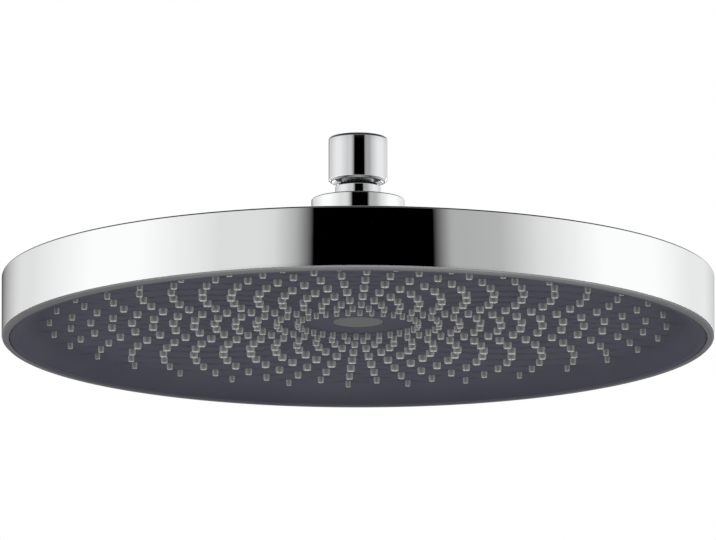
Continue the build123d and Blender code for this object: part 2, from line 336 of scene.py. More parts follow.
class SurfaceEffects:
    """Node groups that several finishes share."""

    GRAIN_DETAIL = 2.0
    SHADE_SCALE = 35.0
    HAZE_SCALE = 22.0
    HAZE_DETAIL = 6.0
    RIPPLE_SCALE = 90.0
    RIPPLE_DETAIL = 1.0
    DROP_SCALE = 160.0
    DROP_EDGE = (0.12, 0.16)
    DROP_AREA_SCALE = 14.0
    DROP_RARITY = 0.82
    DROP_FILM = 0.25
    CONVEX_POINTINESS = 0.498

    def __init__(self) -> None:
        """Builds each group once."""
        self.grain = self._mould_grain()
        self.polish = self._polish_marks()
        self.edges = self._painted_edge_shade()

    @staticmethod
    def _group(
        name: str, inputs: dict[str, float], outputs: list[str]
    ) -> tuple[NodeTree, dict, bpy.types.Node]:
        """Starts a group of float sockets.

        Args:
            name: the group's name.
            inputs: socket names and default values.
            outputs: socket names.

        Returns:
            The tree, its input sockets by name and its output node.
        """
        tree = bpy.data.node_groups.new(name, "ShaderNodeTree")
        for socket, value in inputs.items():
            made = tree.interface.new_socket(socket, in_out="INPUT", socket_type="NodeSocketFloat")
            made.default_value = value
        for socket in outputs:
            tree.interface.new_socket(socket, in_out="OUTPUT", socket_type="NodeSocketFloat")
        nodes = NodeTree(tree)
        entry = nodes.add("NodeGroupInput")
        return nodes, {socket: entry.outputs[socket] for socket in inputs}, nodes.add("NodeGroupOutput")

    def _mould_grain(self) -> bpy.types.NodeTree:
        """Spark-eroded grain of a moulded piece, with slow changes of shade and gloss."""
        inputs = {"Grain Scale": 4000.0, "Low Roughness": 0.4, "High Roughness": 0.6}
        nodes, entry, leave = self._group("mould_grain", inputs, ["Height", "Shade", "Roughness"])
        place = nodes.add("ShaderNodeTexCoord").outputs["Object"]
        fine = nodes.noise(place, entry["Grain Scale"], self.GRAIN_DETAIL)
        slow = nodes.noise(place, self.SHADE_SCALE)
        nodes.feed(leave, {
            "Height": fine,
            "Shade": nodes.spread(slow, 0.0, 1.0),
            "Roughness": nodes.spread(fine, entry["Low Roughness"], entry["High Roughness"]),
        })
        return nodes.tree

    def _polish_marks(self) -> bpy.types.NodeTree:
        """Faint wipe haze, dried drops and plating ripple on a polished surface."""
        inputs = {"Low Roughness": 0.02, "High Roughness": 0.08}
        nodes, entry, leave = self._group("polish_marks", inputs, ["Ripple", "Drops", "Roughness"])
        place = nodes.add("ShaderNodeTexCoord").outputs["Object"]
        haze = nodes.noise(place, self.HAZE_SCALE, self.HAZE_DETAIL)
        cells = nodes.add(
            "ShaderNodeTexVoronoi", {"Vector": place, "Scale": self.DROP_SCALE, "Randomness": 1.0}
        )
        inner, outer = self.DROP_EDGE
        drops = nodes.share(cells.outputs["Distance"], outer, inner)
        here = nodes.spread(nodes.noise(place, self.DROP_AREA_SCALE), 0.0, 1.0)
        seldom = nodes.calc("GREATER_THAN", here, self.DROP_RARITY)
        marks = nodes.calc("MULTIPLY", drops, seldom)
        cover = nodes.calc("ADD", haze, nodes.calc("MULTIPLY", marks, self.DROP_FILM))
        nodes.feed(leave, {
            "Ripple": nodes.noise(place, self.RIPPLE_SCALE, self.RIPPLE_DETAIL),
            "Drops": marks,
            "Roughness": nodes.spread(cover, entry["Low Roughness"], entry["High Roughness"]),
        })
        return nodes.tree

    def _painted_edge_shade(self) -> bpy.types.NodeTree:
        """Mask of the painted dark reflection on convex rounded edges between a wall and what lies on top of
        it.
        """
        inputs = {"Wall Lean": 0.05, "Full Lean": 0.2, "Full Until": 0.7, "Top Lean": 0.9}
        nodes, entry, leave = self._group("painted_edge_shade_mask", inputs, ["Edge"])
        normal = nodes.add("ShaderNodeTexCoord").outputs["Normal"]
        lean = nodes.add("ShaderNodeSeparateXYZ", {0: normal}).outputs["Z"]
        rise = nodes.share(lean, entry["Wall Lean"], entry["Full Lean"])
        fall = nodes.share(lean, entry["Top Lean"], entry["Full Until"])
        turned = nodes.calc("MULTIPLY", rise, fall)
        pointiness = nodes.add("ShaderNodeNewGeometry").outputs["Pointiness"]
        convex = nodes.calc("GREATER_THAN", pointiness, self.CONVEX_POINTINESS)
        nodes.feed(leave, {"Edge": nodes.calc("MULTIPLY", turned, convex)})
        return nodes.tree


@dataclass(frozen=True)
class Finish:
    """What every finish has: its material's name, its slot in the record and two shades."""

    name: str
    slot: str
    colour: Colour
    other_colour: Colour

    def _start(self) -> tuple[bpy.types.Material, NodeTree, bpy.types.Node]:
        """Starts the finish's material.

        Returns:
            The material, its nodes and its principled shader.
        """
        material = bpy.data.materials.new(self.name)
        nodes = cleared_tree(material)
        shader = nodes.add("ShaderNodeBsdfPrincipled")
        nodes.add("ShaderNodeOutputMaterial", {"Surface": shader.outputs["BSDF"]})
        return material, nodes, shader

    def _two_shades(self, nodes: NodeTree, mask: Socket) -> Socket:
        """Mixes the two shades by a mask and returns the colour."""
        return nodes.mix(mask, self.colour, self.other_colour)


@dataclass(frozen=True)
class PolishedFinish(Finish):
    """Plated or bare metal with polish marks."""

    low_roughness: float = 0.02
    high_roughness: float = 0.07
    ripple: float = 0.004
    ripple_distance: float = 0.001
    # Colour of the painted dark reflection on convex rounded edges, or None for none.
    edge_shade_colour: Colour | None = None

    def material(self, effects: SurfaceEffects) -> bpy.types.Material:
        """Builds the metal's material from the shared polish marks."""
        material, nodes, shader = self._start()
        gloss = {"Low Roughness": self.low_roughness, "High Roughness": self.high_roughness}
        marks = nodes.add("ShaderNodeGroup", gloss, node_tree=effects.polish)
        colour = self._two_shades(nodes, marks.outputs["Drops"])
        # Convex rounded edges get a painted dark reflection mixed into the base colour.
        if self.edge_shade_colour:
            edges = nodes.add("ShaderNodeGroup", node_tree=effects.edges)
            colour = nodes.mix(edges.outputs["Edge"], colour, self.edge_shade_colour)
        nodes.feed(shader, {
            "Metallic": 1.0,
            "Base Color": colour,
            "Roughness": marks.outputs["Roughness"],
            "Normal": nodes.bump(marks.outputs["Ripple"], self.ripple, self.ripple_distance),
        })
        return material


@dataclass(frozen=True)
class MouldedFinish(Finish):
    """Plastic, rubber or silicone with a mould's grain."""

    low_roughness: float = 0.4
    high_roughness: float = 0.6
    grain_scale: float = 4000.0
    grain_depth: float = 0.08
    grain_distance: float = 0.0002
    specular: float = 0.5
    sheen: float = 0.0
    sheen_roughness: float = 0.3

    def material(self, effects: SurfaceEffects) -> bpy.types.Material:
        """Builds the moulding's material from the shared grain."""
        material, nodes, shader = self._start()
        grain = nodes.add("ShaderNodeGroup", {
            "Grain Scale": self.grain_scale,
            "Low Roughness": self.low_roughness,
            "High Roughness": self.high_roughness,
        }, node_tree=effects.grain)
        nodes.feed(shader, {
            "Specular IOR Level": self.specular,
            "Sheen Weight": self.sheen,
            "Sheen Roughness": self.sheen_roughness,
            "Base Color": self._two_shades(nodes, grain.outputs["Shade"]),
            "Roughness": grain.outputs["Roughness"],
            "Normal": nodes.bump(grain.outputs["Height"], self.grain_depth, self.grain_distance),
        })
        return material


AnyFinish = PolishedFinish | MouldedFinish


class Workshop:
    """Makes each finish's material once, and hangs finished pieces on their bodies."""

    # Dark grey painted on convex rounded chrome edges, as a painted reflection of dark surroundings.
    PAINTED_EDGE_SHADE = (0.1, 0.1, 0.105)
    CHROME = PolishedFinish(
        "chrome_plating", "chrome_plating", (0.92, 0.925, 0.93), (0.86, 0.87, 0.88), 0.008, 0.03,
        edge_shade_colour=PAINTED_EDGE_SHADE,
    )
    CHROME_METAL = PolishedFinish(
        "chrome_metal", "chrome_metal", (0.76, 0.765, 0.775), (0.7, 0.705, 0.715), 0.01, 0.04,
        edge_shade_colour=PAINTED_EDGE_SHADE,
    )
    # The ball's dark grey is painted shade for the shadowed gap between the nut and the collar.
    BALL_PAINTED_SHADE = PolishedFinish("ball_painted_shade", "chrome_metal", (0.2, 0.2, 0.205), (0.15, 0.15, 0.155), 0.3, 0.45)
    BRASS = PolishedFinish("brass", "brass", (0.78, 0.6, 0.3), (0.68, 0.5, 0.24), 0.18, 0.34)
    STEEL = PolishedFinish("steel_screen", "steel_screen", (0.62, 0.62, 0.6), (0.52, 0.52, 0.5), 0.2, 0.35)
    SLATE = MouldedFinish(
        "slate_plastic", "slate_plastic", (0.065, 0.065, 0.085), (0.071, 0.071, 0.091), 0.6, 0.75,
        specular=0.01,
    )
    SILICONE = MouldedFinish(
        "grey_silicone", "grey_silicone", (0.235, 0.237, 0.232), (0.265, 0.267, 0.26), 0.25, 0.32,
        specular=0.2, sheen=0.8, sheen_roughness=0.35,
    )
    TRIM = MouldedFinish(
        "grey_trim", "grey_trim", (0.125, 0.125, 0.13), (0.135, 0.135, 0.14), 0.5, 0.6, specular=0.02
    )
    CAP = MouldedFinish(
        "grey_cap", "grey_trim", (0.11, 0.113, 0.108), (0.118, 0.121, 0.116), 0.4, 0.5, specular=0.03
    )
    CHAMBER = MouldedFinish("grey_abs", "grey_abs", (0.33, 0.33, 0.34), (0.36, 0.36, 0.37))
    BLACK_ACETAL = MouldedFinish("black_acetal", "black_acetal", (0.02, 0.02, 0.02), (0.026, 0.026, 0.026))
    WHITE_ACETAL = MouldedFinish("white_acetal", "white_acetal", (0.72, 0.72, 0.7), (0.68, 0.68, 0.65))
    RUBBER = MouldedFinish(
        "black_rubber", "black_rubber", (0.018, 0.018, 0.019), (0.025, 0.025, 0.026), 0.6, 0.8
    )

    def __init__(self) -> None:
        """Builds the shared effects."""
        self.effects = SurfaceEffects()
        self._materials: dict[str, bpy.types.Material] = {}

    def material(self, finish: AnyFinish) -> bpy.types.Material:
        """Returns a finish's material, made the first time it is asked for."""
        if finish.name not in self._materials:
            self._materials[finish.name] = finish.material(self.effects)
        return self._materials[finish.name]

    def hang(self, piece: bpy.types.Object, body: Body, finish: AnyFinish, *nodes: str) -> None:
        """Gives a new piece its finish and its body.

        Args:
            piece: the mesh object.
            body: the body that it moves with.
            finish: what it is made of.
            nodes: the solids that it stands for.
        """
        piece.data.materials.append(self.material(finish))
        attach(piece, body.value)
        if nodes:
            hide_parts(*nodes)
        log.info("%s: %d faces on %s", piece.name, len(piece.data.polygons), body.value)

    def turn(
        self, name: str, section: list[Point], segments: int, body: Body, finish: AnyFinish, node: str
    ) -> None:
        """Turns a section into a piece that stands for a solid, and hangs it on its body."""
        self.hang(mesh_object(name, *turned_mesh(section, segments)), body, finish, node)

    def dress(self, finishes: dict[str, AnyFinish]) -> None:
        """Gives solids that stay in view their finishes, by the solids' names."""
        for node, finish in finishes.items():
            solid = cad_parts[node]
            if not solid.material_slots:
                solid.data.materials.append(None)
            for place in solid.material_slots:
                place.material = self.material(finish)
            log.info("%s: dressed in %s", node, finish.name)


@dataclass
class SwivelJoint:
    """Nut, strainer and ball stud above the drum."""

    shop: Workshop
    thread_radius: float = 10.4775
    thread_depth: float = 7.9
    thread_crest: float = 9.32
    thread_pitch: float = 1.814
    thread_bite: float = 0.05
    thread_start: float = 0.8
    thread_root_half: float = 0.48
    thread_crest_half: float = 0.1
    thread_fade_rate: float = 4.0
    thread_least: float = 0.05
    thread_steps_per_turn: int = 72
    thread_sharp_angle: float = 20.0
    nut_mouth_round: float = 0.25
    nut_edge_round: float = 1.3
    nut_foot_chamfer: float = 0.8
    nut_foot_round: float = 0.4
    nut_base_round: float = 0.2
    seat_bore_radius: float = 10.1975
    lip_radius: float = 9.7475
    lip_thickness: float = 1.4
    lip_countersink: float = 1.2
    lip_edge_round: float = 0.12
    lip_bore_round: float = 0.08
    ball_radius: float = 7.5
    ball_steps: int = 40
    neck_radius: float = 5.2
    collar_radius: float = 9.6
    collar_height: float = 6.2
    collar_chamfer: float = 1.3
    collar_gap: float = 0.9
    collar_foot_round: float = 0.25
    collar_edge_round: float = 0.5
    collar_top_round: float = 0.4
    shank_radius: float = 8.0
    shank_round: float = 0.6
    bore_radius: float = 3.75
    pocket_radius: float = 4.78
    pocket_lift: float = 0.8
    screen_rim: float = 0.9
    screen_rim_round: float = 0.1
    screen_round_steps: int = 3
    screen_sharp_angle: float = 60.0
    wire_radius: float = 0.13
    wire_pitch: float = 0.85
    wire_sides: int = 6
    wire_steps_per_pitch: int = 4
    segments: int = 128

    def build(self) -> None:
        """Makes the joint's pieces."""
        self.nut_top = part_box("swivel_nut")[1].z / MM
        self.nut_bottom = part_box("swivel_nut")[0].z / MM
        self.nut_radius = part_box("swivel_nut")[1].x / MM
        self._nut()
        self._thread()
        self._strainer()
        self._stud()
        self.shop.dress({
            "inlet_washer": Workshop.RUBBER,
            "upper_ball_seat": Workshop.WHITE_ACETAL,
            "ball_retaining_ring": Workshop.BLACK_ACETAL,
            "flow_regulator": Workshop.WHITE_ACETAL,
            "regulator_ring": Workshop.RUBBER,
            "collar_gasket": Workshop.RUBBER,
        })

    def _nut(self) -> None:
        """The plain round nut, with a rounded top edge and a countersunk lip."""
        lip_top = self.nut_bottom + self.lip_thickness
        section = rounded_section([
            Corner(self.thread_radius, self.nut_top, self.nut_mouth_round),
            Corner(self.nut_radius, self.nut_top, self.nut_edge_round),
            Corner(self.nut_radius, self.nut_bottom + self.nut_foot_chamfer, self.nut_foot_round),
            Corner(self.nut_radius - self.nut_foot_chamfer, self.nut_bottom, self.nut_base_round),
            Corner(self.lip_radius + self.lip_countersink, self.nut_bottom, self.lip_edge_round),
            Corner(self.lip_radius, self.nut_bottom + self.lip_countersink, self.lip_bore_round),
            Corner(self.lip_radius, lip_top),
            Corner(self.seat_bore_radius, lip_top),
            Corner(self.seat_bore_radius, self.nut_top - self.thread_depth),
            Corner(self.thread_radius, self.nut_top - self.thread_depth),
        ])
        self.shop.turn("nut_body", section, self.segments, Body.INLET, Workshop.CHROME_METAL, "swivel_nut")

    def _thread(self) -> None:
        """The inlet's pipe thread, a ridge that winds down the nut's wall and fades at both ends."""
        per_turn = self.thread_steps_per_turn
        turns = (self.thread_depth - 2 * self.thread_pitch) / self.thread_pitch
        steps = int(turns * per_turn)
        root = self.thread_radius + self.thread_bite
        wide, narrow = self.thread_root_half, self.thread_crest_half
        rate = self.thread_fade_rate
        vertices = []
        for step in range(steps + 1):
            angle = 2 * math.pi * step / per_turn
            fade = min(1.0, rate * step / steps, rate * (1 - step / steps))
            crest = root - (root - self.thread_crest) * max(fade, self.thread_least)
            z = self.nut_top - self.thread_pitch * (self.thread_start + step / per_turn)
            profile = ((root, wide), (crest, narrow), (crest, -narrow), (root, -wide))
            for r, lift in profile:
                height = z + lift * self.thread_pitch
                vertices.append((r * math.cos(angle), r * math.sin(angle), height))
        faces = swept_faces(steps + 1, len(profile))
        piece = mesh_object("nut_thread", vertices, faces, self.thread_sharp_angle)
        self.shop.hang(piece, Body.INLET, Workshop.BRASS)

    def _strainer(self) -> None:
        """A woven wire screen in a flat rim."""
        low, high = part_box("strainer_screen")
        radius, bottom, top = high.x / MM, low.z / MM, high.z / MM
        middle = (bottom + top) / 2
        inner = radius - self.screen_rim
        places = ((inner, bottom), (inner, top), (radius, top), (radius, bottom))
        corners = [Corner(r, z, self.screen_rim_round) for r, z in places]
        rim = rounded_section(corners, self.screen_round_steps)
        parts = [turned_mesh(rim, self.segments)]
        count = int(inner / self.wire_pitch)
        for place in range(-count, count + 1):
            offset = place * self.wire_pitch
            reach = math.sqrt((inner + self.screen_rim / 2) ** 2 - offset**2)
            steps = int(2 * reach / self.wire_pitch * self.wire_steps_per_pitch)
            for along_x in (True, False):
                sign = (1 if place % 2 else -1) * (1 if along_x else -1)
                path = []
                for step in range(steps + 1):
                    s = -reach + 2 * reach * step / steps
                    rise = sign * self.wire_radius * math.cos(math.pi * s / self.wire_pitch)
                    spot = (s, offset) if along_x else (offset, s)
                    path.append(Vector((*spot, middle + rise)))
                across = Vector((0, 1, 0)) if along_x else Vector((1, 0, 0))
                parts.append(tube_mesh(path, across, self.wire_radius, self.wire_sides))
        piece = mesh_object("strainer_gauze", *join_meshes(parts), self.screen_sharp_angle)
        self.shop.hang(piece, Body.INLET, Workshop.STEEL, "strainer_screen")

    def _stud(self) -> None:
        """Round collar and shank in bright plating, and the ball on its neck, dark as painted shade under the
        nut.
        """
        low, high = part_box("ball_stud")
        shank_bottom = low.z / MM
        collar_top = self.nut_bottom - self.collar_gap
        collar_bottom = collar_top - self.collar_height
        mouth_height = math.sqrt(self.ball_radius**2 - self.pocket_radius**2)
        ball_z = high.z / MM - mouth_height
        neck_height = -math.sqrt(self.ball_radius**2 - self.neck_radius**2)
        first = math.atan2(neck_height, self.neck_radius)
        last = math.atan2(mouth_height, self.pocket_radius)
        pocket_floor = ball_z + self.pocket_lift
        collar = rounded_section([
            Corner(self.bore_radius, shank_bottom),
            Corner(self.shank_radius, shank_bottom, self.shank_round),
            Corner(self.shank_radius, collar_bottom),
            Corner(self.collar_radius, collar_bottom, self.collar_foot_round),
            Corner(self.collar_radius, collar_top - self.collar_chamfer, self.collar_edge_round),
            Corner(self.collar_radius - self.collar_chamfer, collar_top, self.collar_top_round),
            Corner(self.bore_radius, collar_top),
        ])
        ball = rounded_section([
            Corner(self.bore_radius, collar_top),
            Corner(self.neck_radius, collar_top),
            *arc((0.0, ball_z), self.ball_radius, first, last, self.ball_steps),
            Corner(self.pocket_radius, pocket_floor),
            Corner(self.bore_radius, pocket_floor),
        ])
        self.shop.turn("stud_collar", collar, self.segments, Body.HEAD, Workshop.CHROME_METAL, "ball_stud")
        self.shop.turn("stud_ball", ball, self.segments, Body.HEAD, Workshop.BALL_PAINTED_SHADE, "ball_stud")


@dataclass
class Drum:
    """Back shell and trim ring."""

    shop: Workshop
    band_height: float = 25.3
    band_edge_round: float = 0.8
    band_foot_round: float = 0.1
    dome_rise: float = 14.6
    hub_radius: float = 19.65
    hub_height: float = 18.45
    hub_edge_round: float = 0.5
    hub_top_wall: float = 4.0
    hub_side_wall: float = 3.0
    hub_foot_round: float = 4.0
    shell_wall: float = 3.0
    stud_hole_radius: float = 8.08
    rebate_width: float = 1.0
    rebate_height: float = 2.5
    trim_width: float = 3.0
    trim_edge_chamfer: float = 0.85
    trim_edge_round: float = 0.3
    trim_seam_round: float = 0.12
    trim_inner_round: float = 0.2
    seam: float = 0.15
    tongue_overlap: float = 1.45
    land_top_lift: float = 2.0
    round_steps: int = 8
    segments: int = 288

    def build(self) -> None:
        """Makes the drum's two turned pieces."""
        low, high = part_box("back_shell")
        self.radius = high.x / MM
        self.hub_top = high.z / MM
        self.band_bottom = low.z / MM
        self._shell()
        self._trim()

    def dome_z(self, r: float, depth: float = 0.0) -> float:
        """Height of the domed back at a radius, on its outer skin or at a depth inside it."""
        crown = self.hub_top - self.hub_height
        curve = (self.radius**2 + self.dome_rise**2) / (2 * self.dome_rise)
        return crown - curve + math.sqrt((curve - depth) ** 2 - r**2)

    def _dome(self, first: float, last: float, depth: float, steps: int = 40) -> list[Corner]:
        """Points along the dome from one radius to another."""
        radii = [first + (last - first) * i / steps for i in range(steps + 1)]
        return [Corner(r, self.dome_z(r, depth)) for r in radii]

    def _shell(self) -> None:
        """Hub, domed back and tall band in one skin, with a rebate for the trim ring."""
        band_top = self.band_bottom + self.band_height
        inner = self.radius - self.shell_wall
        rebate = inner + self.rebate_width
        rebate_top = self.band_bottom + self.rebate_height
        hub_inner = self.hub_radius - self.hub_side_wall
        hub_under = self.hub_top - self.hub_top_wall
        foot = self.hub_radius + 2 * self.hub_foot_round
        edge = self.radius - 2 * self.band_edge_round
        section = rounded_section([
            Corner(self.stud_hole_radius, self.hub_top),
            Corner(self.hub_radius, self.hub_top, self.hub_edge_round),
            Corner(self.hub_radius, self.dome_z(self.hub_radius), self.hub_foot_round),
            *self._dome(foot, edge, 0.0),
            Corner(self.radius, band_top, self.band_edge_round),
            Corner(self.radius, self.band_bottom, self.band_foot_round),
            Corner(rebate, self.band_bottom),
            Corner(rebate, rebate_top),
            Corner(inner, rebate_top),
            *self._dome(inner, hub_inner, self.shell_wall),
            Corner(hub_inner, hub_under),
            Corner(self.stud_hole_radius, hub_under),
        ], self.round_steps)
        self.shop.turn("drum_shell", section, self.segments, Body.HEAD, Workshop.CHROME, "back_shell")

    def _trim(self) -> None:
        """Chamfered grey lip under the band, with its tongue behind the rim of the spray face."""
        low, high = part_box("trim_ring")
        outer, bottom, top = high.x / MM, low.z / MM, high.z / MM
        inner = self.radius - self.trim_width
        tongue_outer = self.radius - self.shell_wall + self.rebate_width - self.seam
        tongue_inner = inner - self.seam - self.tongue_overlap
        land_top = bottom + self.land_top_lift
        section = rounded_section([
            Corner(tongue_inner, top),
            Corner(tongue_outer, top),
            Corner(tongue_outer, self.band_bottom),
            Corner(outer, self.band_bottom, self.trim_seam_round),
            Corner(outer, bottom + self.trim_edge_chamfer, self.trim_edge_round),
            Corner(outer - self.trim_edge_chamfer, bottom, self.trim_edge_round),
            Corner(inner, bottom, self.trim_inner_round),
            Corner(inner, land_top),
            Corner(tongue_inner, land_top),
        ], self.round_steps)
        self.shop.turn("trim_lip", section, self.segments, Body.HEAD, Workshop.TRIM, "trim_ring")


@dataclass
class SprayFace:
    """Dished plate, its field of soft nozzles and the cap at its centre."""

    shop: Workshop
    rim_radius: float = 146.85
    rim_wall_radius: float = 145.25
    land_width: float = 2.4
    land_lift: float = 0.4
    land_thickness: float = 1.6
    rim_round: float = 0.2
    cove_run: float = 11.5
    cove_steps: int = 24
    recess: float = 7.6
    thickness: float = 2.4
    pillar_radius: float = 12.55
    pocket_radius: float = 5.0
    cap_gap: float = 0.15
    cap_recess_round: float = 0.1
    screw_hole_radius: float = 2.05
    pocket_top_lift: float = 4.8
    inner_ring_radius: float = 25.6
    ring_pitch: float = 8.69
    ring_count: int = 13
    nozzles_per_ring: int = 32
    first_nozzle_angle: float = 1.86
    nozzle_radius_small: float = 1.1
    nozzle_radius_large: float = 1.8
    nozzle_length: float = 2.5
    nozzle_root: float = 1.0
    nozzle_taper: float = 0.94
    nozzle_foot: float = 0.1
    nozzle_tip_round: float = 0.3
    nozzle_round_steps: int = 3
    nozzle_sharp_angle: float = 50.0
    orifice_radius: float = 0.5
    orifice_depth: float = 1.8
    orifice_round: float = 0.12
    cap_edge: float = 0.12
    cap_edge_round: float = 0.05
    cap_crown: float = 0.04
    cap_half: float = 0.5
    cap_half_drop: float = 0.75
    segments: int = 288
    nozzle_segments: int = 16
    cap_segments: int = 96

    def build(self) -> None:
        """Makes the plate, the nozzles and the cap."""
        self.trim_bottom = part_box("trim_ring")[0].z / MM
        self.face_z = self.trim_bottom + self.recess
        self._plate()
        self._nozzles()
        self._cap()

    def _plate(self) -> None:
        """The dished plate: flat middle, coved edge, flat land at the rim and a pocket for the cap."""
        cap_low, cap_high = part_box("centre_cap")
        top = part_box("spray_face")[1].z / MM
        seat = cap_high.z / MM
        recess_radius = cap_high.x / MM + self.cap_gap
        back = self.face_z + self.thickness
        land_z = self.trim_bottom + self.land_lift
        land_inner = self.rim_radius - self.land_width
        drop = self.face_z - land_z
        cove_radius = (self.cove_run**2 + drop**2) / (2 * drop)
        cove_centre = (land_inner - self.cove_run, self.face_z - cove_radius)
        cove_end = math.atan2(land_z - cove_centre[1], self.cove_run)
        section = rounded_section([
            Corner(self.screw_hole_radius, top),
            Corner(self.screw_hole_radius, cap_low.z / MM + self.pocket_top_lift),
            Corner(self.pocket_radius, cap_low.z / MM + self.pocket_top_lift),
            Corner(self.pocket_radius, seat),
            Corner(recess_radius, seat),
            Corner(recess_radius, self.face_z, self.cap_recess_round),
            Corner(recess_radius + 2 * self.cap_gap, self.face_z),
            *arc(cove_centre, cove_radius, math.pi / 2, cove_end, self.cove_steps),
            Corner(self.rim_radius, land_z, self.rim_round),
            Corner(self.rim_radius, land_z + self.land_thickness),
            Corner(self.rim_wall_radius, land_z + self.land_thickness),
            Corner(self.rim_wall_radius, back),
            Corner(self.pillar_radius, back),
            Corner(self.pillar_radius, top),
        ])
        self.shop.turn("face_plate", section, self.segments, Body.HEAD, Workshop.SLATE, "spray_face")

    def _nozzle_section(self, radius: float) -> list[Point]:
        """Section of one nozzle, from its root inside the plate to its mouth."""
        tip = self.face_z - self.nozzle_length
        tip_radius = self.nozzle_taper * radius
        return rounded_section([
            Corner(0.0, self.face_z + self.nozzle_root),
            Corner(radius, self.face_z + self.nozzle_root),
            Corner(radius, self.face_z - self.nozzle_foot),
            Corner(tip_radius, tip, self.nozzle_tip_round),
            Corner(self.orifice_radius, tip, self.orifice_round),
            Corner(self.orifice_radius, tip + self.orifice_depth),
            Corner(0.0, tip + self.orifice_depth),
        ], self.nozzle_round_steps)

    def _nozzles(self) -> None:
        """All nozzles: staggered rings, with the widest nozzles half-way out."""
        parts = []
        for ring in range(self.ring_count):
            swell = math.sin(math.pi * ring / (self.ring_count - 1))
            radius = self.nozzle_radius_small + (self.nozzle_radius_large - self.nozzle_radius_small) * swell
            vertices, faces = turned_mesh(self._nozzle_section(radius), self.nozzle_segments)
            ring_radius = self.inner_ring_radius + ring * self.ring_pitch
            start = self.first_nozzle_angle + (ring % 2) * 180 / self.nozzles_per_ring
            for place in range(self.nozzles_per_ring):
                angle = math.radians(start + 360 * place / self.nozzles_per_ring)
                dx, dy = ring_radius * math.cos(angle), ring_radius * math.sin(angle)
                parts.append(([(x + dx, y + dy, z) for x, y, z in vertices], faces))
        piece = mesh_object("soft_nozzles", *join_meshes(parts), self.nozzle_sharp_angle)
        self.shop.hang(piece, Body.HEAD, Workshop.SILICONE, "spray_face")

    def _cap(self) -> None:
        """The plain disc that hides the centre screw, slightly crowned."""
        low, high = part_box("centre_cap")
        radius, bottom, top = high.x / MM, low.z / MM, high.z / MM
        edge = bottom + self.cap_crown
        section = rounded_section([
            Corner(0.0, top),
            Corner(radius, top),
            Corner(radius, edge + self.cap_edge, self.cap_edge_round),
            Corner(radius - self.cap_edge, edge, self.cap_edge_round),
            Corner(self.cap_half * radius, edge - self.cap_half_drop * self.cap_crown),
            Corner(0.0, bottom),
        ])
        self.shop.turn("cap_disc", section, self.cap_segments, Body.HEAD, Workshop.CAP, "centre_cap")


@dataclass
class Waterway:
    """The pieces inside the drum, which keep their solids."""

    shop: Workshop

    def build(self) -> None:
        """Dresses each inner solid."""
        self.shop.dress({
            "threaded_insert": Workshop.BRASS,
            "stud_seal": Workshop.RUBBER,
            "water_chamber": Workshop.CHAMBER,
            "nozzle_mat": Workshop.SILICONE,
            "chamber_screws": Workshop.STEEL,
            "centre_screw": Workshop.STEEL,
            "centre_screw_washer": Workshop.RUBBER,
        })


@dataclass(frozen=True)
class Lamp:
    """A soft square lamp that faces the head: place and side in metres, power in watts, spread in degrees."""

    name: str
    place: tuple[float, float, float]
    side: float
    power: float
    spread: float = 180.0


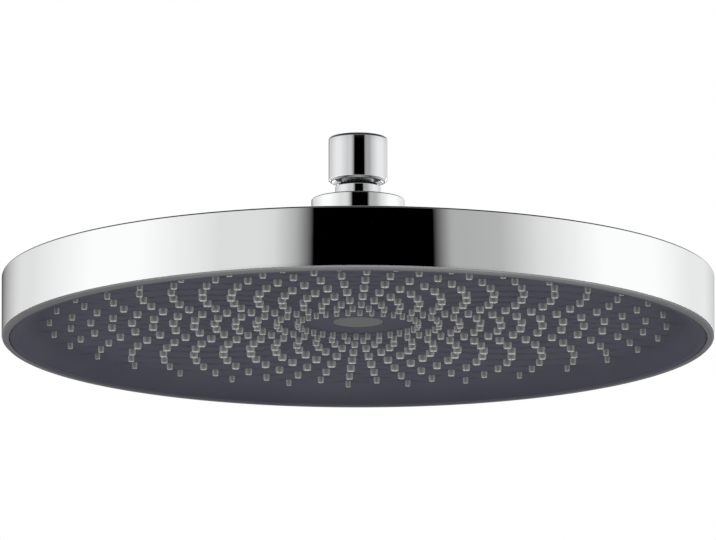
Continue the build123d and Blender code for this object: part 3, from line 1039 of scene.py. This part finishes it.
@dataclass
class Studio:
    """Floor, white surround, reflected flats, lamps and the camera."""

    view_elevation: float = -11.4
    pixels_per_mm: float = 2.375
    aim_z: float = -56.9
    lens: float = 1290.0
    sensor: float = 36.0
    clip_reach: float = 10.0
    floor_z: float = -2100.0
    floor_size: float = 80000.0
    floor_colour: Colour = (0.86, 0.86, 0.86)
    fill_level: float = 0.4
    flat_distance: float = 6000.0
    flat_segments: int = 180
    sky_steps: int = 24
    lamps: tuple[Lamp, ...] = (
        Lamp("front_softbox", (0.4, -2.3, 1.0), 1.6, 20.0, 60.0),
        Lamp("left_softbox", (-1.75, -0.1, -0.85), 1.0, 24.0),
        Lamp("right_softbox", (1.75, -0.1, -0.85), 1.0, 24.0),
    )
    wall_fade: tuple[float, float] = (18.0, 29.0)
    floor_fade: tuple[float, float] = (-15.0, -19.0)
    floor_tone: float = 0.37
    height_gains: tuple[Tone, ...] = tones(
        (-15, 1.0), (-13, 3.5), (-9, 3.5), (-5, 1.0), (-4, 0.5), (3.5, 0.5), (5.6, 1.0),
    )
    sky_tones: tuple[Tone, ...] = tones(
        (0, 0.6), (35, 0.6), (48, 0.35), (60, 0.08), (70, 0.25), (80, 0.55), (90, 0.75),
    )
    wall_tones: tuple[Tone, ...] = tones(
        (-180, 0.08), (-170, 0.12), (-166, 0.24), (-155, 0.49), (-146, 0.69), (-140, 0.78),
        (-130, 0.79), (-118, 0.88), (-95, 1.05), (-75, 1.05), (-52, 0.85), (-45, 0.77), (-32, 0.77),
        (-27, 0.73), (-20, 0.46), (-15.2, 0.12), (-14.5, 0.0), (24.5, 0.0), (25.4, 0.12), (30, 0.44),
        (46, 0.48), (60, 0.76), (85, 1.05), (110, 1.05), (135, 0.86), (150, 0.86), (171, 0.62),
        (180, 0.08),
    )

    def build(self) -> None:
        """Sets the scene round the head."""
        bpy.context.scene.view_settings.view_transform = "Standard"
        self._surround()
        self._floor()
        self._flats()
        for lamp in self.lamps:
            self._hang_lamp(lamp)
        self._camera()

    @staticmethod
    def _seen_by(nodes: NodeTree, *rays: Ray) -> Socket:
        """Returns 1 for any of the given kinds of ray and 0 for others."""
        path = nodes.add("ShaderNodeLightPath")
        total = path.outputs[rays[0].value]
        for ray in rays[1:]:
            total = nodes.calc("MAXIMUM", total, path.outputs[ray.value])
        return total

    def _surround(self) -> None:
        """White wherever it is seen, and an even soft light elsewhere."""
        world = bpy.data.worlds.new("white_surround")
        nodes = cleared_tree(world)
        light = nodes.add("ShaderNodeBackground", {"Color": (1, 1, 1, 1), "Strength": self.fill_level})
        seen = nodes.add("ShaderNodeBackground", {"Color": (1, 1, 1, 1), "Strength": 1.0})
        mix = nodes.add("ShaderNodeMixShader", {
            0: self._seen_by(nodes, Ray.CAMERA, Ray.GLOSSY, Ray.TRANSMISSION),
            1: light.outputs[0],
            2: seen.outputs[0],
        })
        nodes.add("ShaderNodeOutputWorld", {"Surface": mix.outputs[0]})
        bpy.context.scene.world = world

    def _floor(self) -> None:
        """Pale floor a shower's height below the head, seen through from underneath."""
        half = self.floor_size / 2
        z = self.floor_z
        corners = [(-half, -half, z), (half, -half, z), (half, half, z), (-half, half, z)]
        floor = mesh_object("floor", corners, [[0, 1, 2, 3]])
        material = bpy.data.materials.new("pale_floor")
        nodes = cleared_tree(material)
        shader = nodes.add("ShaderNodeBsdfDiffuse", {"Color": (*self.floor_colour, 1.0)})
        clear = nodes.add("ShaderNodeBsdfTransparent")
        under = nodes.add("ShaderNodeNewGeometry").outputs["Backfacing"]
        mix = nodes.add("ShaderNodeMixShader", {0: under, 1: shader.outputs[0], 2: clear.outputs[0]})
        nodes.add("ShaderNodeOutputMaterial", {"Surface": mix.outputs[0]})
        floor.data.materials.append(material)

    def _flats(self) -> None:
        """Grey flats and a soft grey sky round the head, which only polished surfaces see."""
        zenith = arc((0.0, 0.0), self.flat_distance, 0.0, math.pi / 2, self.sky_steps)
        section = [(self.flat_distance, self.floor_z), *((corner.r, corner.z) for corner in zenith)]
        vertices, faces = turned_mesh(section, self.flat_segments)
        flats = mesh_object("grey_flats", vertices, faces[:-self.flat_segments])
        flats.data.materials.append(self._flat_material())
        flats.visible_camera = False
        flats.visible_diffuse = False
        flats.visible_transmission = False
        flats.visible_shadow = False

    @staticmethod
    def _tone_ramp(
        nodes: NodeTree, angle: Socket, tones: tuple[Tone, ...]
    ) -> Socket:
        """Grey levels or gains along an angle.

        Args:
            nodes: the material's nodes.
            angle: the angle in radians.
            tones: the levels, in the order of their angles.

        Returns:
            The level as a grey.
        """
        first, last = tones[0].angle, tones[-1].angle
        along = nodes.share(angle, math.radians(first), math.radians(last))
        ramp = nodes.add("ShaderNodeValToRGB", {0: along})
        stops = ramp.color_ramp.elements
        places = [(tone.angle - first) / (last - first) for tone in tones]
        for place in places[1:-1]:
            stops.new(place)
        for stop, place, tone in zip(sorted(stops, key=lambda element: element.position), places, tones):
            stop.position = place
            stop.color = (tone.level, tone.level, tone.level, 1.0)
        return ramp.outputs["Color"]

    @staticmethod
    def _fade(
        nodes: NodeTree, angle: Socket, ends: tuple[float, float], before: object, after: object
    ) -> Socket:
        """Fades one colour into another over an angle.

        Args:
            nodes: the material's nodes.
            angle: the angle in radians.
            ends: where the fade starts and ends, in degrees.
            before: the first colour, or its socket.
            after: the second.

        Returns:
            The colour.
        """
        start, end = (math.radians(degrees) for degrees in ends)
        fade = nodes.share(angle, start, end, interpolation_type="SMOOTHSTEP")
        return nodes.mix(fade, before, after)

    def _flat_material(self) -> bpy.types.Material:
        """Glowing greys by direction and height, brighter at the foot and dimmer at the horizon."""
        material = bpy.data.materials.new("grey_flats")
        nodes = cleared_tree(material)
        place = nodes.add("ShaderNodeTexCoord").outputs["Object"]
        split = nodes.add("ShaderNodeSeparateXYZ", {0: place})
        towards = nodes.calc("MULTIPLY", split.outputs["Y"], -1.0)
        azimuth = nodes.calc("ARCTAN2", split.outputs["X"], towards)
        level = nodes.add("ShaderNodeVectorMath", {0: place, 1: (1.0, 1.0, 0.0)}, operation="MULTIPLY")
        reach = nodes.add("ShaderNodeVectorMath", {0: level.outputs[0]}, operation="LENGTH").outputs["Value"]
        height = nodes.calc("ARCTAN2", split.outputs["Z"], reach)
        wall = self._tone_ramp(nodes, azimuth, self.wall_tones)
        sky = self._tone_ramp(nodes, height, self.sky_tones)
        grey = self._fade(nodes, height, self.wall_fade, wall, sky)
        grey = self._fade(nodes, height, self.floor_fade, grey, (self.floor_tone,) * 3)
        gain = self._tone_ramp(nodes, height, self.height_gains)
        glow = nodes.add("ShaderNodeEmission", {"Color": grey, "Strength": gain})
        nodes.add("ShaderNodeOutputMaterial", {"Surface": glow.outputs[0]})
        material.cycles.emission_sampling = "NONE"
        return material

    @staticmethod
    def _hang_lamp(lamp: Lamp) -> None:
        """Adds a lamp, which polished surfaces don't see."""
        data = bpy.data.lights.new(lamp.name, "AREA")
        data.size = lamp.side
        data.energy = lamp.power
        data.spread = math.radians(lamp.spread)
        hung = bpy.data.objects.new(lamp.name, data)
        hung.location = lamp.place
        hung.rotation_mode = "QUATERNION"
        hung.rotation_quaternion = (-Vector(lamp.place)).to_track_quat("-Z", "Y")
        hung.visible_glossy = False
        bpy.context.scene.collection.objects.link(hung)

    def _camera(self) -> None:
        """A long lens from below, as in the photograph."""
        data = bpy.data.cameras.new("camera")
        data.lens = self.lens
        data.sensor_width = self.sensor
        width = IMAGE_WIDTH_PX / self.pixels_per_mm
        distance = width * self.lens / self.sensor * MM
        data.clip_end = self.clip_reach * distance
        tilt = math.radians(self.view_elevation)
        back = Vector((0.0, -math.cos(tilt), math.sin(tilt)))
        camera = bpy.data.objects.new("camera", data)
        camera.location = Vector((0.0, 0.0, self.aim_z)) * MM + back * distance
        camera.rotation_mode = "QUATERNION"
        camera.rotation_quaternion = (-back).to_track_quat("-Z", "Y")
        bpy.context.scene.collection.objects.link(camera)
        bpy.context.scene.camera = camera


def main() -> None:
    logging.basicConfig(level=logging.INFO, format="%(name)s: %(message)s")
    shop = Workshop()
    for assembly in (SwivelJoint(shop), Drum(shop), SprayFace(shop), Waterway(shop)):
        assembly.build()
    Studio().build()


if __name__ == "__main__":
    main()
